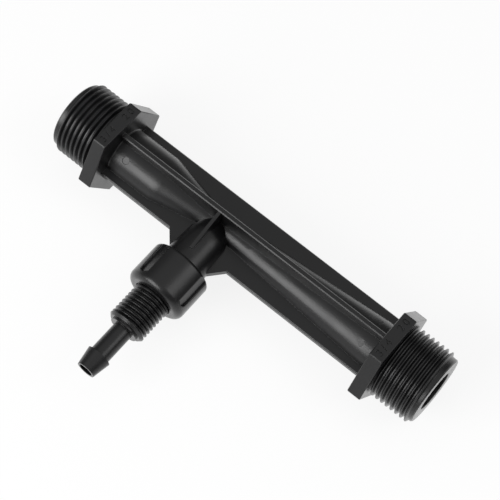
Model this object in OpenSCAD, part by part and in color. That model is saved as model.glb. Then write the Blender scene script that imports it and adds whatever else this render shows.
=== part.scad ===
// Venturi fertilizer injector with a union-nut suction port.
// Flow runs along +X from the inlet mouth, the suction branch points to -Y, +Z is up.
// The origin is the centre of the inlet mouth, on the flow axis.

/* [Pipe ends] */
// Outside diameter of the pipe thread at both ends
pipe_thread_d = 26.4; // [24:0.1:30]
// Threaded length at each end
pipe_thread_len = 14.8; // [10:0.1:20]
// Chamfer that leads into the pipe thread
pipe_lead = 0.9; // [0.4:0.1:1.2]
// Diameter of the plain nose ahead of the thread
pipe_nose_d = 24.1; // [20:0.1:25]
// Length of the plain nose
pipe_nose_len = 1.5; // [1:0.1:4]
// Bevel on the rim of the nose
nose_bevel = 0.4; // [0.2:0.05:0.8]
// Bore of the waterway at both ends
pipe_bore_d = 14; // [11:0.1:16]
// Width of the spanner collar across its flats
hex_af = 30.5; // [28:0.1:36]
// Thickness of the spanner collar
hex_len = 4.9; // [3:0.1:10]

/* [Venturi tube] */
// Distance between the two spanner collars
tube_len = 107.6; // [95:0.1:130]
// Wall of the tube
tube_wall = 1.8; // [1.2:0.1:2.4]
// Straight run behind the inlet collar
inlet_straight = 16.8; // [8:0.1:22]
// Length of the converging cone
inlet_cone_len = 20.5; // [14:0.1:26]
// Bore of the throat
throat_d = 5.4; // [4:0.1:7]
// Length of the throat
throat_len = 8.2; // [5:0.1:14]
// Straight run ahead of the outlet collar
outlet_straight = 3; // [2:0.1:12]
// Fillet between the tube and each collar
collar_fillet = 0.5; // [0.2:0.1:2.4]

/* [Ribs] */
// Width over the two side webs
web_w = 23.3; // [20:0.1:26]
// Thickness of the side webs
web_t = 2.2; // [1.6:0.1:3.2]
// Height over the upper and lower ribs
rib_h = 24.3; // [20:0.1:26]
// Thickness of the upper and lower ribs
rib_t = 1.9; // [1.2:0.1:2.6]
// Radius on the long edges of webs and ribs
rib_edge_r = 0.35; // [0.1:0.05:0.5]

/* [Suction branch] */
// Diameter of the branch where the nut meets it
branch_d = 15.8; // [15.5:0.1:16.2]
// Diameter of the branch at the end of its flare
branch_waist_d = 14.3; // [13:0.1:15.4]
// Diameter of the branch at the flow axis, where the flare starts
branch_root_d = 9; // [7:0.1:12]
// Distance from the flow axis to the end of the branch's flare
flare_end = 6.8; // [5:0.1:10]
// Distance from the flow axis to the top of the nut
nut_top = 18.9; // [18:0.1:24]
// Length of the spigot inside the nut
spigot_len = 8.7; // [7:0.1:10]
// Diameter of the spigot's thread
spigot_d = 16.4; // [16.3:0.1:17]
// Bore of the check-valve chamber
chamber_d = 9.2; // [8.2:0.1:10.4]
// Distance from the flow axis to the chamber's spring seat
spring_seat = 13; // [11:0.1:14]
// Diameter of the suction port in the throat
port_d = 4; // [3:0.1:4.6]
// Reach of the web gussets beside the branch, from its axis
gusset_reach = 11.9; // [10:0.1:14]
// Half width of the gussets at their foot
gusset_foot = 7.2; // [6:0.1:7.4]
// Distance from the flow axis to the foot of the gussets
gusset_end = 17; // [15:0.1:17.8]
// Thickness of the thin rib on the branch
branch_rib_t = 1.2; // [0.8:0.1:1.6]
// Distance from the flow axis to the end of the thin rib
branch_rib_end = 15.1; // [12:0.1:16]

/* [Union nut] */
// Diameter over the grip
nut_d = 21.5; // [20:0.1:24]
// Thickness of the lip that holds the nipple's flange
nut_lip = 2.6; // [2:0.1:4]
// Radius of the rounded shoulder
nut_shoulder_r = 2.4; // [1:0.1:2.8]
// Radius of the rounded rim around the branch
nut_rim_r = 1.2; // [0.4:0.1:1.8]
// Width of each grip flute
flute_w = 4.2; // [3:0.1:5]
// Depth of each grip flute at its steep wall
flute_depth = 0.9; // [0.6:0.1:1.4]
// Slope of the flute's floor, up to the broad grip face
flute_slope = 12; // [10:1:20]
// Length of each grip flute from the rim to its round end
flute_len = 12; // [8:0.1:12.4]
// Angle from the middle of a broad grip face to the flute beside it
flute_spread = 48; // [35:0.5:60]
// Turn of the tightened nut, from a broad grip face straight up
nut_turn = 14.5; // [0:0.5:90]

/* [Suction nipple] */
// Thickness of the flange under the nut's lip
flange_t = 2; // [1.4:0.1:3]
// Outside diameter of the stub thread
stub_thread_d = 13.6; // [12.6:0.1:14]
// Threaded length of the stub
stub_thread_len = 12.9; // [9:0.1:16]
// Chamfer that leads into the stub thread
stub_lead = 0.8; // [0.4:0.1:1.2]
// Diameter of the neck inside the nut's lip
stub_neck_d = 13; // [12:0.1:13.2]
// Length of the neck that shows below the nut
neck_show = 0.3; // [0.1:0.1:1]
// Diameter of the plain nose below the thread
stub_nose_d = 10.2; // [9:0.1:12]
// Length of that nose
stub_nose_len = 0.8; // [0.5:0.1:3]
// Diameter of the hose tail
tail_d = 6.9; // [6.4:0.1:8]
// Length of the hose tail above the barb
tail_len = 11.4; // [8:0.1:16]
// Diameter of the barb
barb_d = 8.6; // [8:0.1:10]
// Diameter at the tip of the barb
barb_tip_d = 6.5; // [6:0.1:8]
// Length of the barb
barb_len = 6.2; // [4:0.1:9]
// Bore of the hose tail
tail_bore_d = 5; // [4:0.1:5.4]

/* [Check valve] */
// Thickness of the flat seal on the flange
seal_t = 1.4; // [0.8:0.1:2]
// Inside diameter of the seal
seal_bore_d = 9.6; // [8.6:0.1:11]
// Diameter of the ball
ball_d = 7; // [6.6:0.1:7.6]
// Half angle of the ball's conical seat
seat_half_angle = 30; // [25:1:35]
// Mouth of the ball's seat
seat_mouth_d = 7.8; // [7.4:0.1:8.4]
// Wire of the return spring
wire_d = 0.6; // [0.4:0.05:0.8]
// Mean diameter of the return spring
coil_d = 5.2; // [4.8:0.1:5.6]
// Turns of the return spring
coil_turns = 6; // [4:0.5:8]

/* [Fits] */
// Radial clearance of the nut on the spigot
nut_clearance = 0.1; // [0.05:0.05:0.3]
// Radial clearance of the nipple's flange and seal in the nut
flange_clearance = 0.3; // [0.1:0.05:0.5]
// Radial clearance of the stub thread in the nut's lip
lip_clearance = 0.2; // [0.1:0.05:0.4]
// Clearance of the ball on its seat and of the spring on the ball
valve_clearance = 0.05; // [0.03:0.01:0.1]

/* [Hidden] */
$fn = 96;
// Length by which a cut runs past a face
past = 1;

// Stations along the flow axis
inlet_hex_x = pipe_nose_len + pipe_thread_len;
tube_x0 = inlet_hex_x + hex_len;
inlet_cone_x = tube_x0 + inlet_straight;
throat_x0 = inlet_cone_x + inlet_cone_len;
throat_x1 = throat_x0 + throat_len;
tube_x1 = tube_x0 + tube_len;
outlet_cone_x = tube_x1 - outlet_straight;
outlet_hex_x = tube_x1 + hex_len;
body_len = outlet_hex_x + inlet_hex_x;
branch_x = (throat_x0 + throat_x1) / 2;

// Radii of the tube
pipe_bore_r = pipe_bore_d / 2;
throat_r = throat_d / 2;
tube_r = pipe_bore_r + tube_wall;
throat_outer_r = throat_r + tube_wall;

// Stations along the branch, as distances from the flow axis
nut_r = nut_d / 2;
nut_bore_r = spigot_d / 2 + nut_clearance;
flange_r = nut_bore_r - flange_clearance;
lip_bore_r = stub_thread_d / 2 + lip_clearance;
spigot_end = nut_top + spigot_len;
flange_top = spigot_end + seal_t;
lip_top = flange_top + flange_t;
nut_end = lip_top + nut_lip;
neck_end = nut_end + neck_show;
stub_end = neck_end + stub_thread_len;
stub_nose_end = stub_end + stub_nose_len;
barb_top = stub_nose_end + tail_len;
tip_end = barb_top + barb_len;

// The ball rests in its cone: distances from the cone's apex
seat_apex = flange_top + seat_mouth_d / 2 / tan(seat_half_angle);
seat_end = seat_apex - tail_bore_d / 2 / tan(seat_half_angle);
ball_r = ball_d / 2;
ball_at = seat_apex - (ball_r + valve_clearance) / sin(seat_half_angle);

// The spring runs from its seat to the ball's crown
wire_r = wire_d / 2;
coil_r = coil_d / 2;
coil_gap = ball_r + wire_r + valve_clearance;
coil_start = spring_seat + wire_r + valve_clearance;
coil_end = ball_at - sqrt(coil_gap * coil_gap - coil_r * coil_r);
coil_sides = 8;
coil_steps = 20 * coil_turns;

// Turns an axis of revolution along the flow
module along_flow() rotate([0, 90, 0]) children();

// Turns an axis of revolution down the branch, from the flow axis outwards
module down_branch() translate([branch_x, 0, 0]) rotate([90, 0, 0]) children();

// Flat bar along the flow between the collars, with rounded long edges
module flow_bar(width, height) {
    bar_x = tube_x0 - hex_len / 2;
    translate([bar_x, 0, 0])
        rotate([90, 0, 90])
            linear_extrude(height = tube_len + hex_len)
                rounded_rectangle(width, height, rib_edge_r);
}

module rounded_rectangle(width, height, r) {
    square([width - 2 * r, height], center = true);
    square([width, height - 2 * r], center = true);
    for (sx = [-1, 1], sy = [-1, 1])
        translate([sx * (width / 2 - r), sy * (height / 2 - r)])
            circle(r = r);
}

// Outside of the tube between the collars, as radius against station
module tube_profile() {
    polygon([
        [0, tube_x0 - hex_len / 2],
        [tube_r, tube_x0 - hex_len / 2],
        [tube_r, inlet_cone_x],
        [throat_outer_r, throat_x0],
        [throat_outer_r, throat_x1],
        [tube_r, outlet_cone_x],
        [tube_r, tube_x1 + hex_len / 2],
        [0, tube_x1 + hex_len / 2]
    ]);
}

// Concave fillet that carries the tube into a collar
module collar_fillet_profile(station, side) {
    difference() {
        translate([0, min(station - side * hex_len / 2, station + side * collar_fillet)])
            square([tube_r + collar_fillet, hex_len / 2 + collar_fillet]);
        translate([tube_r + collar_fillet, station + side * collar_fillet])
            circle(r = collar_fillet);
    }
}

// Thread blank and plain nose of one end, as radius against station
module pipe_end_profile() {
    polygon([
        [0, 0],
        [pipe_nose_d / 2 - nose_bevel, 0],
        [pipe_nose_d / 2, nose_bevel],
        [pipe_nose_d / 2, pipe_nose_len],
        [pipe_thread_d / 2 - pipe_lead, pipe_nose_len],
        [pipe_thread_d / 2, pipe_nose_len + pipe_lead],
        [pipe_thread_d / 2, inlet_hex_x + hex_len / 2],
        [0, inlet_hex_x + hex_len / 2]
    ]);
}

module spanner_collar(station) {
    translate([station, 0, 0])
        rotate([0, 90, 0])
            rotate([0, 0, 30])
                cylinder(d = hex_af / cos(30), h = hex_len, $fn = 6);
}

// Waterway: inlet, converging cone, throat, diverging cone, outlet
module waterway() {
    along_flow()
        rotate_extrude()
            polygon([
                [0, -past],
                [pipe_bore_r, -past],
                [pipe_bore_r, inlet_cone_x],
                [throat_r, throat_x0],
                [throat_r, throat_x1],
                [pipe_bore_r, outlet_cone_x],
                [pipe_bore_r, body_len + past],
                [0, body_len + past]
            ]);
}

// Suction port and check-valve chamber inside the branch
module suction_way() {
    down_branch() {
        cylinder(d = port_d, h = spring_seat + past);
        translate([0, 0, spring_seat])
            cylinder(d = chamber_d, h = spigot_end - spring_seat + past);
    }
}

// Branch with its flare and the spigot that the nut screws on
module branch() {
    down_branch()
        rotate_extrude()
            polygon([
                [0, 0],
                [branch_root_d / 2, 0],
                [branch_waist_d / 2, flare_end],
                [branch_d / 2, nut_top],
                [spigot_d / 2, nut_top],
                [spigot_d / 2, spigot_end],
                [0, spigot_end]
            ]);
}

// Web corners that brace the branch in the plane of the side webs
module branch_gussets() {
    translate([branch_x, 0, -web_t / 2])
        linear_extrude(height = web_t)
            polygon([
                [-gusset_reach, 0],
                [-gusset_reach, -web_w / 2],
                [-gusset_foot, -gusset_end],
                [gusset_foot, -gusset_end],
                [gusset_reach, -web_w / 2],
                [gusset_reach, 0]
            ]);
}

// Thin rib that runs from the upper and lower ribs down to the branch
module branch_rib() {
    rib_top = rib_h / 2 - rib_edge_r;
    translate([branch_x - branch_rib_t / 2, 0, 0])
        rotate([90, 0, 90])
            linear_extrude(height = branch_rib_t)
                polygon([
                    [0, rib_top],
                    [-rib_t / 2, rib_top],
                    [-branch_rib_end, branch_d / 2],
                    [-branch_rib_end, -branch_d / 2],
                    [-rib_t / 2, -rib_top],
                    [0, -rib_top]
                ]);
}

module injector_body() {
    color("#262729")
        difference() {
            union() {
                along_flow()
                    rotate_extrude() {
                        tube_profile();
                        collar_fillet_profile(tube_x0, 1);
                        collar_fillet_profile(tube_x1, -1);
                        pipe_end_profile();
                        translate([0, body_len])
                            mirror([0, 1])
                                pipe_end_profile();
                    }
                spanner_collar(inlet_hex_x);
                spanner_collar(tube_x1);
                flow_bar(web_w, web_t);
                flow_bar(rib_t, rib_h);
                branch();
                branch_gussets();
                branch_rib();
            }
            waterway();
            suction_way();
        }
}

// Outside of the nut less its thread and the hole for the neck, as radius against distance
module nut_profile() {
    difference() {
        union() {
            translate([0, nut_top + nut_rim_r])
                square([nut_r, nut_end - nut_top - nut_rim_r - nut_shoulder_r]);
            translate([0, nut_top])
                square([nut_r - nut_rim_r, nut_rim_r + past]);
            translate([nut_r - nut_rim_r, nut_top + nut_rim_r])
                circle(r = nut_rim_r);
            translate([0, nut_end - nut_shoulder_r - past])
                square([nut_r - nut_shoulder_r, nut_shoulder_r + past]);
            translate([nut_r - nut_shoulder_r, nut_end - nut_shoulder_r])
                circle(r = nut_shoulder_r);
        }
        translate([0, nut_top - past])
            square([nut_bore_r, lip_top - nut_top + past]);
        translate([0, lip_top - past])
            square([lip_bore_r, nut_lip + 2 * past]);
    }
}

// Cut of one flute: its floor slopes from a broad face down to a steep wall, and its end is round
module grip_flute() {
    half_w = flute_w / 2;
    floor_r = nut_r - flute_depth;
    round_end = nut_top + flute_len - half_w;
    intersection() {
        translate([0, 0, nut_top - past])
            linear_extrude(height = flute_len + 2 * past)
                polygon([
                    [floor_r - past * tan(flute_slope), half_w + past],
                    [floor_r + (flute_w + past) * tan(flute_slope), -half_w - past],
                    [nut_r + past, -half_w - past],
                    [nut_r + past, half_w + past]
                ]);
        rotate([90, 0, 90])
            linear_extrude(height = nut_r + 2 * past) {
                translate([-half_w, nut_top - past])
                    square([flute_w, round_end - nut_top + past]);
                translate([0, round_end])
                    circle(r = half_w);
            }
    }
}

module union_nut() {
    color("#28292b")
        down_branch()
            difference() {
                rotate_extrude()
                    nut_profile();
                for (broad_face = [90 - nut_turn, 270 - nut_turn], flip = [0, 1])
                    rotate([0, 0, broad_face])
                        mirror([0, flip, 0])
                            rotate([0, 0, flute_spread])
                                grip_flute();
            }
}

module suction_nipple() {
    color("#242527")
        down_branch()
            rotate_extrude()
                polygon([
                    [seat_mouth_d / 2, flange_top],
                    [flange_r, flange_top],
                    [flange_r, lip_top],
                    [stub_neck_d / 2, lip_top],
                    [stub_neck_d / 2, neck_end],
                    [stub_thread_d / 2, neck_end],
                    [stub_thread_d / 2, stub_end - stub_lead],
                    [stub_thread_d / 2 - stub_lead, stub_end],
                    [stub_nose_d / 2, stub_end],
                    [stub_nose_d / 2, stub_nose_end],
                    [tail_d / 2, stub_nose_end],
                    [tail_d / 2, barb_top],
                    [barb_d / 2, barb_top],
                    [barb_tip_d / 2, tip_end],
                    [tail_bore_d / 2, tip_end],
                    [tail_bore_d / 2, seat_end]
                ]);
}

module nipple_seal() {
    color("#1b1b1b")
        down_branch()
            translate([0, 0, spigot_end])
                difference() {
                    cylinder(r = flange_r, h = seal_t);
                    translate([0, 0, -past])
                        cylinder(d = seal_bore_d, h = seal_t + 2 * past);
                }
}

module check_ball() {
    color("#e6e2d6")
        down_branch()
            translate([0, 0, ball_at])
                sphere(r = ball_r);
}

// One point of the spring's wire: a ring of sides around the helix
function coil_point(step, side) =
    let (
        turn = 360 * coil_turns * step / coil_steps,
        around = 360 * side / coil_sides,
        reach = coil_r + wire_r * cos(around),
        along = coil_start + (coil_end - coil_start) * step / coil_steps + wire_r * sin(around)
    )
    [reach * cos(turn), reach * sin(turn), along];

module check_spring() {
    points = [for (step = [0 : coil_steps], side = [0 : coil_sides - 1]) coil_point(step, side)];
    walls = [
        for (step = [0 : coil_steps - 1], side = [0 : coil_sides - 1])
            let (next = (side + 1) % coil_sides, low = step * coil_sides, high = low + coil_sides)
            [low + side, low + next, high + next, high + side]
    ];
    start_cap = [for (side = [coil_sides - 1 : -1 : 0]) side];
    end_cap = [for (side = [0 : coil_sides - 1]) coil_steps * coil_sides + side];
    color("#b9bcc0")
        down_branch()
            polyhedron(points = points, faces = concat(walls, [start_cap, end_cap]));
}

injector_body();
union_nut();
suction_nipple();
nipple_seal();
check_ball();
check_spring();
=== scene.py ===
# %% [markdown]
# # A venturi fertilizer injector
# Water runs through a black moulded tube that narrows to a throat. The low pressure there draws fertilizer
# up through a side branch, past a ball valve. The CAD frame has the true shapes. This lesson adds what CAD
# leaves plain: threads, crisp moulded edges, moulding marks, plastic, light and a camera.

# %% Load the CAD frame
import math

import bpy
from mathutils import Matrix, Vector


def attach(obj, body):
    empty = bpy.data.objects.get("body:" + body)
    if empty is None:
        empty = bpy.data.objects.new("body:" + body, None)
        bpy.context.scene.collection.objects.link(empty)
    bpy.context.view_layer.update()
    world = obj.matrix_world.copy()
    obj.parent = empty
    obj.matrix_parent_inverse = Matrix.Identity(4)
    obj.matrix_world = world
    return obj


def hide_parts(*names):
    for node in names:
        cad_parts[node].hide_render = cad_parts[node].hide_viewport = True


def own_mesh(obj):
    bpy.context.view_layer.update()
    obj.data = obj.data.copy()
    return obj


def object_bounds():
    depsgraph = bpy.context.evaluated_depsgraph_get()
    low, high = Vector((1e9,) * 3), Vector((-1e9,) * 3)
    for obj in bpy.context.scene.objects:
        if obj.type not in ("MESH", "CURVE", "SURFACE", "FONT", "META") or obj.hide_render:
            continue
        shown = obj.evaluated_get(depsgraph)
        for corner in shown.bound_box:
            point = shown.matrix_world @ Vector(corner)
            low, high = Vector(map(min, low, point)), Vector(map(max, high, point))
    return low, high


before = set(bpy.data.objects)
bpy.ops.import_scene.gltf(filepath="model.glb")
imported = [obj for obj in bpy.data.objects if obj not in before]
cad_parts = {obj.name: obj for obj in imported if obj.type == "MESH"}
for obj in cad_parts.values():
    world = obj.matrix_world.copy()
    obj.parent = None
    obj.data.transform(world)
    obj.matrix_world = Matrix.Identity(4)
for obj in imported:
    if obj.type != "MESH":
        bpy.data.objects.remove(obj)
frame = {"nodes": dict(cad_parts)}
cad_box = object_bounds()
MM = 0.001
print("CAD nodes:", ", ".join(frame["nodes"]))
print("CAD box, mm:", [[round(c / MM, 2) for c in corner] for corner in cad_box])

# %% [markdown]
# ## Helpers for working as by hand
# Operators act on whatever is selected, and the loaded CAD nodes start out selected. So each step first
# deselects everything and then picks its own piece, and edges are picked by where they lie. Sizes below are
# in millimetres and angles in degrees unless a comment says otherwise, and MM turns a size to metres.


# %% Pick a piece, and pick edges by place
def pick(piece):
    bpy.ops.object.select_all(action="DESELECT")
    piece.select_set(True)
    bpy.context.view_layer.objects.active = piece


def pick_edges(piece, lies_right, sharper_than=None):
    """Goes into edit mode with only those edges selected whose ends pass the test, sharp ones if asked."""
    pick(piece)
    bpy.ops.object.mode_set(mode="EDIT")
    bpy.ops.mesh.select_mode(type="EDGE")
    bpy.ops.mesh.select_all(action="SELECT")
    if sharper_than is not None:
        bpy.ops.mesh.select_all(action="DESELECT")
        bpy.ops.mesh.edges_select_sharp(sharpness=math.radians(sharper_than))
    bpy.ops.object.mode_set(mode="OBJECT")
    points = piece.data.vertices
    offered = [e for e in piece.data.edges if e.select]
    chosen = [e.index for e in offered if lies_right(*(points[i].co / MM for i in e.vertices))]
    bpy.ops.object.mode_set(mode="EDIT")
    bpy.ops.mesh.select_all(action="DESELECT")
    bpy.ops.object.mode_set(mode="OBJECT")
    for index in chosen:
        piece.data.edges[index].select = True
    bpy.ops.object.mode_set(mode="EDIT")
    return len(chosen)


def on_whole_mesh(piece, operator, **settings):
    """Runs one edit-mode operator on everything in a piece."""
    pick(piece)
    bpy.ops.object.mode_set(mode="EDIT")
    bpy.ops.mesh.select_all(action="SELECT")
    operator(**settings)
    bpy.ops.object.mode_set(mode="OBJECT")


def settle(piece):
    """Puts a piece's place, turn and scale into its mesh."""
    pick(piece)
    bpy.ops.object.transform_apply(location=True, rotation=True, scale=True)


# %% [markdown]
# ## The camera
# The photograph looks down on the injector from the branch side with a long lens. The camera is described by
# where it stands, which way it looks and which way is up in the picture.

# %% Camera
CAMERA_AT = Vector((195.84, -171.743, 472.839)) * MM
CAMERA_LOOKS = Vector((-0.233, 0.3312, -0.9144)).normalized()
CAMERA_UP = Vector((-0.5957, 0.6946, 0.4033))
LENS_MM, SENSOR_MM = 115.426, 36

camera_right = CAMERA_LOOKS.cross(CAMERA_UP).normalized()
camera_up = camera_right.cross(CAMERA_LOOKS)
bpy.ops.object.select_all(action="DESELECT")
bpy.ops.object.camera_add()
camera = bpy.context.object
camera.name = "photo_camera"
camera_turn = Matrix((camera_right, camera_up, -CAMERA_LOOKS)).transposed().to_4x4()
camera.matrix_world = Matrix.Translation(CAMERA_AT) @ camera_turn
camera.data.lens = LENS_MM
camera.data.sensor_width = SENSOR_MM
bpy.context.scene.camera = camera
bpy.context.scene.view_settings.view_transform = "Standard"
print("camera stands", round(CAMERA_AT.length, 3), "m from the inlet mouth")

# %% [markdown]
# ## One function for nodes and one for colours
# A material is a small tree of nodes. One helper adds a node with its settings and links, so every tree below
# reads as a list. Colours are written as the hex codes that a paint chart would use. Cycles reckons in linear
# light, so a second helper turns each code to that.


# %% Add a node, turn a hex colour to linear
def add(tree, kind, links=(), sockets=(), **settings):
    made = tree.nodes.new(kind)
    for name, value in settings.items():
        setattr(made, name, value)
    for name, value in dict(sockets).items():
        made.inputs[name].default_value = value
    for name, source in dict(links).items():
        tree.links.new(source, made.inputs[name])
    return made


def linear(code):
    """The usual sRGB curve, for a code such as #808080, with full alpha."""
    channels = [int(code[i:i + 2], 16) / 255 for i in (1, 3, 5)]
    return [c / 12.92 if c <= 0.04045 else ((c + 0.055) / 1.055) ** 2.4 for c in channels] + [1]


print("a mid grey, #808080, is", round(linear("#808080")[0], 3), "in linear light")

# %% [markdown]
# ## Light and floor
# The object lies on a white table under soft studio light. Black gloss plastic shows little of its own
# colour: it shows what it reflects, so the surroundings draw its form. A large softbox on the branch side
# makes the broad highlight along the tube, a weaker one beyond the outlet lights the round walls from the
# right, and the room is light overhead and dim around the sides. The table looks white to the camera and in
# reflections, and it still keeps a soft shadow.

# %% Softboxes
TARGET = Vector((72, -18, 0)) * MM


def softbox(name, way, distance, width, height, radiance):
    """An area light, sized in metres, that stands in direction way from the object and faces it."""
    bpy.ops.object.select_all(action="DESELECT")
    bpy.ops.object.light_add(type="AREA")
    light = bpy.context.object
    light.name = name
    way = Vector(way).normalized()
    light.location = TARGET + way * distance
    light.rotation_euler = way.to_track_quat("Z", "Y").to_euler()
    light.data.shape = "RECTANGLE"
    light.data.size, light.data.size_y = width, height
    light.data.energy = math.pi * width * height * radiance
    light.visible_camera = False
    print(name, "at", [round(c, 2) for c in light.location], round(light.data.energy, 1), "W")


softbox("branch_side_softbox", way=(-0.35, -0.80, 0.52), distance=0.8, width=0.56, height=0.48, radiance=6.6)
softbox("outlet_side_softbox", way=(0.68, 0.33, 0.66), distance=0.9, width=0.50, height=0.50, radiance=2.2)

# %% A room that is light overhead
SIDE_LEVEL, TOP_LEVEL = 0.25, 0.78
SIDE_UP_TO, TOP_FROM = 35, 62

world = bpy.data.worlds.new("studio_room")
bpy.context.scene.world = world
world.use_nodes = True
tree = world.node_tree
tree.nodes.clear()
direction = add(tree, "ShaderNodeTexCoord").outputs["Generated"]
height = add(tree, "ShaderNodeSeparateXYZ", {"Vector": direction}).outputs["Z"]
low, high = (math.sin(math.radians(angle)) for angle in (SIDE_UP_TO, TOP_FROM))
level = add(tree, "ShaderNodeMapRange", {"Value": height},
            {"From Min": low, "From Max": high, "To Min": SIDE_LEVEL, "To Max": TOP_LEVEL},
            interpolation_type="SMOOTHSTEP")
sky = add(tree, "ShaderNodeBackground", {"Strength": level.outputs["Result"]}, {"Color": linear("#ffffff")})
add(tree, "ShaderNodeOutputWorld", {"Surface": sky.outputs[0]})
print("room level", SIDE_LEVEL, "at the sides and", TOP_LEVEL, "overhead")

# %% White table
FLOOR_GLOW = 0.86
FLOOR_GAP = 0.02
# The table's side and the middle of it along X are in metres
TABLE_SIDE, TABLE_MID_X, TABLE_CELLS = 6, 0.07, 4

floor_z = cad_box[0].z - FLOOR_GAP * MM
bpy.ops.object.select_all(action="DESELECT")
bpy.ops.mesh.primitive_grid_add(x_subdivisions=TABLE_CELLS, y_subdivisions=TABLE_CELLS, size=TABLE_SIDE,
                                location=(TABLE_MID_X, 0, floor_z))
floor = bpy.context.object
floor.name = "white_table"
settle(floor)
table_white = bpy.data.materials.new("matt_white_table")
table_white.use_nodes = True
tree = table_white.node_tree
tree.nodes.clear()
ray = add(tree, "ShaderNodeLightPath").outputs
seen = ray["Is Camera Ray"]
for mirrored in ("Is Glossy Ray", "Is Transmission Ray"):
    seen = add(tree, "ShaderNodeMath", {0: seen, 1: ray[mirrored]}, operation="MAXIMUM").outputs[0]
share = add(tree, "ShaderNodeMath", {0: seen}, {1: FLOOR_GLOW}, operation="MULTIPLY")
paint = add(tree, "ShaderNodeBsdfDiffuse", sockets={"Color": linear("#f4f4f4")})
glow = add(tree, "ShaderNodeEmission", sockets={"Color": linear("#ffffff"), "Strength": 1.0})
both = add(tree, "ShaderNodeMixShader", {0: share.outputs[0], 1: paint.outputs[0], 2: glow.outputs[0]})
add(tree, "ShaderNodeOutputMaterial", {"Surface": both.outputs[0]})
floor.data.materials.append(table_white)
print("floor at", round(floor_z / MM, 3), "mm")

# %% [markdown]
# ## Black polypropylene
# The injector is moulded in black polypropylene. The mould's fine spark-eroded finish gives a satin gloss: a
# deep black that takes broad, soft highlights, with slight clouds where the plastic flowed and cooled. The
# grain is about 0.1 mm on the real part; it is drawn at 0.5 mm so that it shows at this picture's size.

# %% Two tones in soft patches
PATCH_DETAIL = 3


def mottled(name, dark, light, patch_mm):
    """Starts a material that drifts between two tones, and gives the nodes and sockets to finish it with."""
    material = bpy.data.materials.new(name)
    material.use_nodes = True
    tree = material.node_tree
    skin = tree.nodes["Principled BSDF"]
    place = add(tree, "ShaderNodeTexCoord").outputs["Object"]
    patches = add(tree, "ShaderNodeTexNoise", {"Vector": place},
                  {"Scale": 1 / (patch_mm * MM), "Detail": PATCH_DETAIL}).outputs["Fac"]
    colour = add(tree, "ShaderNodeMix", {"Factor": patches}, {"A": linear(dark), "B": linear(light)},
                 data_type="RGBA")
    tree.links.new(colour.outputs["Result"], skin.inputs["Base Color"])
    print("made", name)
    return material, tree, skin, place, patches


# %% Black polypropylene
SKIN_IOR = 1.3
COAT_WEIGHT, COAT_ROUGH = 1.0, 0.32
CLOUD_MM = 9.0
CLOUD_LOW, CLOUD_HIGH = 0.3, 0.7
GRAIN_MM, GRAIN_DETAIL = 0.5, 2
GRAIN_STRENGTH, GRAIN_HEIGHT_MM = 0.6, 0.03
EDGE_ROUND_MM, EDGE_SAMPLES = 0.15, 6


def plastic(name, dark, light, low_rough, high_rough):
    """The clouds move the roughness too, and grain and edges shape both the skin and its glossy coat."""
    material, tree, skin, place, clouds = mottled(name, dark, light, CLOUD_MM)
    skin.inputs["IOR"].default_value = SKIN_IOR
    skin.inputs["Coat Weight"].default_value = COAT_WEIGHT
    skin.inputs["Coat IOR"].default_value = SKIN_IOR
    skin.inputs["Coat Roughness"].default_value = COAT_ROUGH
    rough = add(tree, "ShaderNodeMapRange", {"Value": clouds},
                {"From Min": CLOUD_LOW, "From Max": CLOUD_HIGH, "To Min": low_rough, "To Max": high_rough})
    tree.links.new(rough.outputs["Result"], skin.inputs["Roughness"])
    grain = add(tree, "ShaderNodeTexNoise", {"Vector": place},
                {"Scale": 1 / (GRAIN_MM * MM), "Detail": GRAIN_DETAIL})
    edges = add(tree, "ShaderNodeBevel", sockets={"Radius": EDGE_ROUND_MM * MM}, samples=EDGE_SAMPLES)
    bump = add(tree, "ShaderNodeBump", {"Height": grain.outputs["Fac"], "Normal": edges.outputs["Normal"]},
               {"Strength": GRAIN_STRENGTH, "Distance": GRAIN_HEIGHT_MM * MM})
    for layer in ("Normal", "Coat Normal"):
        tree.links.new(bump.outputs["Normal"], skin.inputs[layer])
    return material


body_plastic = plastic("black_polypropylene_body", "#09090a", "#0e0e0f", low_rough=0.29, high_rough=0.43)
nut_plastic = plastic("black_polypropylene_nut", "#0a0a0b", "#101011", low_rough=0.30, high_rough=0.38)
nipple_plastic = plastic("black_polypropylene_nipple", "#09090a", "#0e0e0f", low_rough=0.29, high_rough=0.43)

# %% [markdown]
# ## From CAD node to editable skin
# The body and the nipple need threads, and the nut needs rounded edges. So each is replaced by a copy of its
# own CAD mesh that is then worked on. A CAD node is loose triangles. Merging them makes a closed skin, and a
# limited dissolve turns the triangles of a flat face back into one face, which bevels cleanly.

# %% Copy a CAD node as a closed skin
WELD_MM = 0.001
FLAT_WITHIN = 0.05


def weld(piece):
    on_whole_mesh(piece, bpy.ops.mesh.remove_doubles, threshold=WELD_MM * MM)


def merge_flat_faces(piece):
    on_whole_mesh(piece, bpy.ops.mesh.dissolve_limited, angle_limit=math.radians(FLAT_WITHIN))


def skin_of(node, name):
    copy = bpy.data.objects.new(name, frame["nodes"][node].data.copy())
    bpy.context.collection.objects.link(copy)
    copy.data.materials.clear()
    pick(copy)
    bpy.ops.mesh.customdata_custom_splitnormals_clear()
    weld(copy)
    merge_flat_faces(copy)
    print(name, "starts with", len(copy.data.vertices), "points and", len(copy.data.polygons), "faces")
    return copy


body = skin_of("injector_body", "moulded_body")

# %% [markdown]
# ## Collar edges
# The corners of the spanner collars aren't knife-sharp: a narrow flat breaks each one, and it catches the
# light as a thin line. CAD keeps the corners sharp. Here the outline edges of both hexagons are picked by
# place and bevelled with one segment, which leaves just such a flat.

# %% Break the collar edges
COLLAR_AF = 30.5
COLLAR_FACES = (16.3, 21.2, 128.8, 133.7)
COLLAR_BREAK = 0.25
NEAR = 0.01


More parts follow.
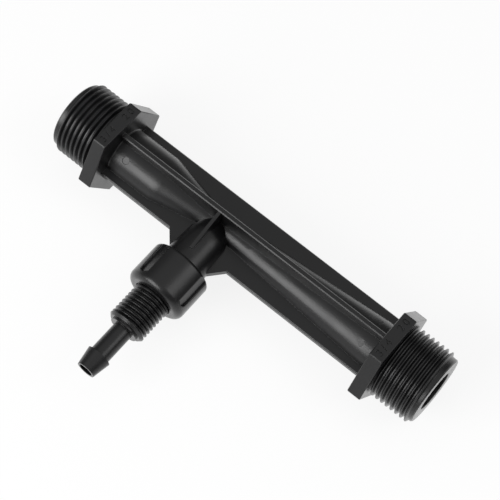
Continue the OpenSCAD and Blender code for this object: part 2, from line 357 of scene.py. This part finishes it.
def hexagon_reach(point):
    """How far out a point lies, measured square to the hexagon's nearest flat."""
    flats = [math.radians(60 * k) for k in range(6)]
    return max(point.y * math.sin(a) + point.z * math.cos(a) for a in flats)


def on_collar_outline(a, b):
    if min(hexagon_reach(a), hexagon_reach(b)) < COLLAR_AF / 2 - NEAR:
        return False
    same_face = abs(a.x - b.x) < NEAR and any(abs(a.x - x) < NEAR for x in COLLAR_FACES)
    same_corner = (a.yz - b.yz).length < NEAR
    return same_face or same_corner


found = pick_edges(body, on_collar_outline)
bpy.ops.mesh.bevel(offset=COLLAR_BREAK * MM, segments=1, affect="EDGES")
bpy.ops.object.mode_set(mode="OBJECT")
print("broke", found, "collar edges")

# %% [markdown]
# ## Rib and web edges
# The ribs and webs are flat bars, and each of their long edges shows as one crisp line of even brightness. A
# flat at 45 degrees gives that, while CAD has a small round there. Dissolving the round's edges would leave
# torn corners where bars meet, so its points are moved onto the straight line between its two borders.

# %% Crisp long edges on ribs and webs
# Half the size of a bar across Y and across Z
RIB_HALF, WEB_HALF = Vector((0.95, 12.15)), Vector((11.65, 1.1))
BAR_ROUND = 0.35


def to_chamfer(point):
    """Moves a point of a rounded corner onto the straight line between the corner's two borders."""
    for half in (RIB_HALF, WEB_HALF):
        off = Vector([abs(c) / MM - h + BAR_ROUND for c, h in zip(point.co.yz, half)])
        if min(off) > NEAR and abs(off.length - BAR_ROUND) < NEAR:
            inward = (sum(off) - BAR_ROUND) / 2 * MM
            point.co -= Vector((0, math.copysign(inward, point.co.y), math.copysign(inward, point.co.z)))
            return True
    return False


moved = sum(to_chamfer(point) for point in body.data.vertices)
merge_flat_faces(body)
print("moved", moved, "points onto chamfers")

# %% [markdown]
# ## Mouths of the waterway
# The bore ends in a slightly rounded lip at the inlet and the outlet. The edges of both mouths are the ones
# at the body's two ends that lie no further out than the bore, and a bevel of a few segments rounds them.

# %% Round the mouths of the waterway
BODY_LEN = 150.0
MOUTH_R = 7.0
MOUTH_ROUND, MOUTH_STEPS = 0.3, 3


def on_mouth(a, b):
    at_an_end = [min(abs(p.x), abs(p.x - BODY_LEN)) < NEAR for p in (a, b)]
    return all(at_an_end) and max(a.yz.length, b.yz.length) < MOUTH_R + NEAR


found = pick_edges(body, on_mouth)
bpy.ops.mesh.bevel(offset=MOUTH_ROUND * MM, segments=MOUTH_STEPS, profile=0.5, affect="EDGES")
bpy.ops.object.mode_set(mode="OBJECT")
print("rounded", found, "mouth edges")

# %% [markdown]
# ## Threads
# A thread is a ridge wound round a core. CAD keeps each threaded end as a plain blank at the crest's
# diameter, which is the size that other parts fit. Here a ring-shaped cutter turns the blank down to its
# core, and a ridge with a round crest is wound on and joined to it. Ring and ridge both start as a flat face
# beside the axis. The Screw modifier takes the ring once round and the ridge along a rising helix.

# %% Turn a ring, wind a ridge
STEPS_PER_TURN = 72


def flat_face(name, low_x, high_x, low_r, high_r):
    """A face in the XZ plane, along the axis in X and outwards in Z."""
    bpy.ops.object.select_all(action="DESELECT")
    bpy.ops.mesh.primitive_plane_add(size=1, rotation=(math.radians(90), 0, 0))
    face = bpy.context.object
    face.name = name
    face.scale = ((high_x - low_x) * MM, (high_r - low_r) * MM, 1)
    face.location = ((low_x + high_x) / 2 * MM, 0, (low_r + high_r) / 2 * MM)
    settle(face)
    return face


def wind(face, turns, pitch):
    """Turns a face about X into a solid: a ring if the pitch is 0, else a helix."""
    pick(face)
    screw = face.modifiers.new("wind", "SCREW")
    screw.axis = "X"
    screw.angle = math.radians(360 * turns)
    screw.screw_offset = pitch * turns * MM
    screw.steps = screw.render_steps = round(STEPS_PER_TURN * turns)
    bpy.ops.object.modifier_apply(modifier=screw.name)
    on_whole_mesh(face, bpy.ops.mesh.fill_holes, sides=0)
    on_whole_mesh(face, bpy.ops.mesh.normals_make_consistent, inside=False)


# %% The two tools of a thread
# Half of the angle between the flanks of a pipe thread
FLANK = math.radians(27.5)
# The ridge's foot sits this deep in the core, and the ring reaches this far past the blank
SINK, LIFT = 0.1, 0.4
# The two rounds of a crest stop just short of meeting, and the ridge never gets quite flat
CREST_FILL, CREST_STEPS = 0.95, 4
LEAST_RISE = 0.02


def turning(name, low_x, high_x, root_r, crest_r, lean=0):
    """A ring that turns a blank down to its core. The wall that it leaves at the low end can lean."""
    ring = flat_face(name, low_x, high_x, root_r, crest_r + LIFT)
    pick_edges(ring, lambda a, b: max(a.z, b.z) < root_r + NEAR)
    shrink = 1 - lean / (high_x - low_x)
    bpy.ops.transform.resize(value=(shrink, 1, 1), center_override=(high_x * MM, 0, 0))
    bpy.ops.object.mode_set(mode="OBJECT")
    wind(ring, 1, 0)
    return ring


def ridge(name, pitch, root_r, crest_r, crest_round, turns, rise):
    """A ridge wound along X from X = 0. Over the first part of a turn it rises out of the core."""
    foot_r = root_r - SINK
    crest_half = crest_round * math.tan(math.pi / 4 - FLANK / 2)
    foot_half = crest_half + (crest_r - foot_r) * math.tan(FLANK)
    helix = flat_face(name, -foot_half, foot_half, foot_r, crest_r)
    pick_edges(helix, lambda a, b: min(a.z, b.z) > root_r)
    bpy.ops.transform.resize(value=(crest_half / foot_half, 1, 1))
    bpy.ops.mesh.select_mode(type="VERT")
    bpy.ops.mesh.bevel(offset=CREST_FILL * crest_half * MM, segments=CREST_STEPS, affect="VERTICES")
    bpy.ops.mesh.select_mode(type="FACE")
    bpy.ops.mesh.select_all(action="SELECT")
    bpy.ops.mesh.dissolve_faces()
    bpy.ops.object.mode_set(mode="OBJECT")
    wind(helix, turns, pitch)
    for point in helix.data.vertices:
        part_turn = math.atan2(-point.co.y, point.co.z) / math.tau
        turn = part_turn + round(point.co.x / MM / pitch - part_turn)
        height = min(1, max(LEAST_RISE, turn / rise))
        out = Vector((0, point.co.y, point.co.z))
        point.co -= out.normalized() * (out.length - foot_r * MM) * (1 - height)
    return helix


# %% Cut, join and set tools in place
def combine(piece, tool, operation):
    """Cuts a tool from a piece, or joins it to the piece, and removes the tool."""
    pick(piece)
    boolean = piece.modifiers.new("combine", "BOOLEAN")
    boolean.operation, boolean.solver, boolean.object = operation, "EXACT", tool
    bpy.ops.object.modifier_apply(modifier=boolean.name)
    print(piece.name, operation.lower(), tool.name, "now", len(piece.data.polygons), "faces")
    shape = tool.data
    bpy.data.objects.remove(tool)
    bpy.data.meshes.remove(shape)


def thread_end(piece, blank_cut, thread, end, facing):
    """Turns both tools about Z to run inwards from the end, then cuts the core and adds the ridge."""
    for tool, operation in ((blank_cut, "DIFFERENCE"), (thread, "UNION")):
        tool.rotation_euler.z = math.radians(facing)
        tool.location = Vector(end) * MM
        settle(tool)
        combine(piece, tool, operation)


# %% Pipe threads
PIPE_PITCH = 1.88
# The crest stays a hair under the blank, so that no two faces coincide
PIPE_CREST_R, PIPE_ROOT_R, PIPE_CREST_ROUND = 13.19, 12.1, 0.26
# The crest's place along X at the top of the tube, and the angle before it at which the ridge starts
PIPE_CREST_AT, PIPE_START = 2.45, -200
PIPE_RISE = 0.24
PIPE_NOSE, COLLAR_CLEAR, INTO_COLLAR = 1.2, 0.05, 0.8

collar = COLLAR_FACES[0]
start_x = PIPE_CREST_AT + PIPE_PITCH * PIPE_START / 360
turns = (collar + INTO_COLLAR - start_x) / PIPE_PITCH
for end, end_x, facing in (("inlet", 0, 0), ("outlet", BODY_LEN, 180)):
    blank_cut = turning(end + "_turning", PIPE_NOSE, collar - COLLAR_CLEAR, PIPE_ROOT_R, PIPE_CREST_R)
    thread = ridge(end + "_thread", PIPE_PITCH, PIPE_ROOT_R, PIPE_CREST_R, PIPE_CREST_ROUND, turns, PIPE_RISE)
    thread.rotation_euler.x = math.radians(PIPE_START)
    thread.location.x = start_x * MM
    settle(thread)
    thread_end(body, blank_cut, thread, (end_x, 0, 0), facing)

# %% [markdown]
# ## Moulding marks
# Ejector pins push the moulding out of its mould and leave shallow round flats on the tube beside each
# collar. A disc-shaped cutter sinks each one a little below the tube's surface.

# %% Ejector marks
TUBE_R = 8.8
PIN_LENGTH, PIN_SIDES = 2, 40
# Station along X, angle from the top, radius and depth of each mark
MARKS = ((26.3, 35, 1.25, 0.24), (122.9, 35, 1.5, 0.28), (123.3, -31, 1.5, 0.2))

for station, angle, radius, depth in MARKS:
    bpy.ops.object.select_all(action="DESELECT")
    bpy.ops.mesh.primitive_cylinder_add(vertices=PIN_SIDES, radius=radius * MM, depth=PIN_LENGTH * MM)
    pin = bpy.context.object
    pin.name = "ejector_pin"
    out = Vector((0, -math.sin(math.radians(angle)), math.cos(math.radians(angle))))
    pin.rotation_euler = out.to_track_quat("Z", "X").to_euler()
    pin.location = Vector((station * MM, 0, 0)) + out * (TUBE_R - depth + PIN_LENGTH / 2) * MM
    settle(pin)
    combine(body, pin, "DIFFERENCE")

# %% [markdown]
# ## Numbers on the collars
# The upper flat of each collar carries a line of shallow moulded figures. Plain numbers stand there: the pipe
# size in inches and in millimetres. The text is made a mesh first, then laid on the flat and sunk into it.

# %% Sunk numbers
FIGURES = "3/4  20"
FIGURE_SIZE, FIGURE_SPACING = 3.6, 1.45
FIGURE_DEPTH = 0.3
FIGURE_CURVE_STEPS = 4

for low_x, high_x in (COLLAR_FACES[:2], COLLAR_FACES[2:]):
    bpy.ops.object.select_all(action="DESELECT")
    bpy.ops.object.text_add()
    figures = bpy.context.object
    figures.name = "collar_figures"
    figures.data.body = FIGURES
    figures.data.align_x, figures.data.align_y = "CENTER", "CENTER"
    figures.data.size = FIGURE_SIZE * MM
    figures.data.space_character = FIGURE_SPACING
    figures.data.extrude = FIGURE_DEPTH * MM
    figures.data.resolution_u = FIGURE_CURVE_STEPS
    bpy.ops.object.convert(target="MESH")
    figures = bpy.context.object
    weld(figures)
    figures.rotation_euler.z = math.radians(90)
    figures.location = Vector(((low_x + high_x) / 2, 0, COLLAR_AF / 2)) * MM
    settle(figures)
    combine(body, figures, "DIFFERENCE")

# %% [markdown]
# ## A clean skin
# Round walls should shade smoothly and corners should stay crisp. Smoothing by angle keeps the corners, and
# weighted normals stop the narrow rounds and flats from bending the shading of the large faces beside them.

# %% Smooth by angle
CORNER = 28


def dress(piece, node, body_name, material, corner=CORNER):
    """Smooths a piece up to the corner angle, gives it its material, and puts it in its node's place."""
    pick(piece)
    bpy.ops.object.shade_smooth_by_angle(angle=math.radians(corner))
    weighted = piece.modifiers.new("weighted", "WEIGHTED_NORMAL")
    weighted.keep_sharp = True
    bpy.ops.object.modifier_apply(modifier=weighted.name)
    piece.data.materials.append(material)
    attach(piece, body_name)
    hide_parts(node)
    print(piece.name, "stands for", node, "with", len(piece.data.polygons), "faces")


dress(body, "injector_body", "injector", body_plastic)

# %% [markdown]
# ## The union nut
# The nut's CAD shape has its rounded rim, shoulder and wedge-shaped grip flutes. On the real nut the edge
# above each flute's steep wall is rounded and catches the light. Those edges are picked as the sharp ones
# that lie on the nut's outer wall, on the far side of the flute from the broad grip face.

# %% Union nut
BRANCH_X = 62.6
NUT_R, NUT_SKIN = 10.75, 0.1
NUT_TURN = 14.5
STEEP_FROM, STEEP_TO, STEEP_CORNER = 47, 62, 40
FLUTE_ROUND, FLUTE_STEPS = 0.42, 5


def above_steep_wall(a, b):
    for point in (a, b):
        from_broad_face = math.degrees(math.atan2(point.x - BRANCH_X, point.z)) - NUT_TURN
        from_broad_face = abs((from_broad_face + 90) % 180 - 90)
        inside = math.hypot(point.x - BRANCH_X, point.z) < NUT_R - NUT_SKIN
        if inside or not STEEP_FROM < from_broad_face < STEEP_TO:
            return False
    return True


nut = skin_of("union_nut", "fluted_union_nut")
found = pick_edges(nut, above_steep_wall, sharper_than=STEEP_CORNER)
bpy.ops.mesh.bevel(offset=FLUTE_ROUND * MM, segments=FLUTE_STEPS, profile=0.5, affect="EDGES")
bpy.ops.object.mode_set(mode="OBJECT")
print("rounded", found, "flute edges")
dress(nut, "union_nut", "injector", nut_plastic)

# %% [markdown]
# ## The nipple and its stub thread
# The nipple's stub has a finer thread, made in the same way. The turning stops short of the stub's end and
# leaves a chamfered ring, out of which the ridge rises. Both tools are made along X and then turned to run up
# the branch from the stub's end.

# %% Stub thread
STUB_PITCH = 1.485
STUB_CREST_R, STUB_ROOT_R, STUB_CREST_ROUND = 6.8, 5.87, 0.2
STUB_RISE = 0.2
# Distances from the flow axis down the branch
STUB_END, STUB_CREST_AT = 46.8, 46.14
RING_BACK, TURNED_TO, UNDER_NUT = 45.8, 34.4, 32.6

nipple = skin_of("suction_nipple", "barbed_nipple")
lean = (STUB_CREST_R + LIFT - STUB_ROOT_R) * math.tan(FLANK)
ring_x = STUB_END - RING_BACK - LIFT * math.tan(FLANK)
blank_cut = turning("stub_turning", ring_x, STUB_END - TURNED_TO, STUB_ROOT_R, STUB_CREST_R, lean)
turns = (STUB_CREST_AT - UNDER_NUT) / STUB_PITCH
thread = ridge("stub_thread", STUB_PITCH, STUB_ROOT_R, STUB_CREST_R, STUB_CREST_ROUND, turns, STUB_RISE)
thread.location.x = (STUB_END - STUB_CREST_AT) * MM
settle(thread)
thread_end(nipple, blank_cut, thread, (BRANCH_X, -STUB_END, 0), facing=90)
dress(nipple, "suction_nipple", "injector", nipple_plastic)

# %% [markdown]
# ## Pieces inside the valve
# The seal, the ball and the spring keep their CAD shapes and get their own finishes: a dull nitrile rubber, a
# polished acetal ball and a drawn stainless wire. The spring shortens when the ball lifts, and a copy with
# its own mesh stands for it. The spring has to shorten when the ball lifts, which a rigid node can't do.

# %% Nitrile rubber and acetal
RUBBER_GRAIN_MM, ACETAL_CLOUD_MM = 0.4, 2.0
FINISH_STRENGTH, FINISH_HEIGHT_MM = 0.1, 0.02


def simple_finish(name, dark, light, patch_mm, rough, metallic=0.0):
    material, tree, skin, _, patches = mottled(name, dark, light, patch_mm)
    skin.inputs["Metallic"].default_value = metallic
    skin.inputs["Roughness"].default_value = rough
    bump = add(tree, "ShaderNodeBump", {"Height": patches},
               {"Strength": FINISH_STRENGTH, "Distance": FINISH_HEIGHT_MM * MM})
    tree.links.new(bump.outputs["Normal"], skin.inputs["Normal"])
    return material


finishes = {
    "nipple_seal": simple_finish("nitrile_rubber", "#101010", "#1a1a1a", RUBBER_GRAIN_MM, rough=0.7),
    "check_ball": simple_finish("polished_acetal", "#dcd7c8", "#e8e4d8", ACETAL_CLOUD_MM, rough=0.2),
}
for node, material in finishes.items():
    for place in frame["nodes"][node].material_slots:
        place.material = material
    print(node, "has", material.name)

# %% Return spring in stainless wire
DRAW_LINE_MM = 0.05
WIRE_CORNER = 50

stainless = simple_finish("drawn_stainless_wire", "#b4b6b8", "#c6c8ca", DRAW_LINE_MM, rough=0.3, metallic=1.0)
spring = skin_of("check_spring", "return_spring")
dress(spring, "check_spring", "injector", stainless, corner=WIRE_CORNER)
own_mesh(spring)
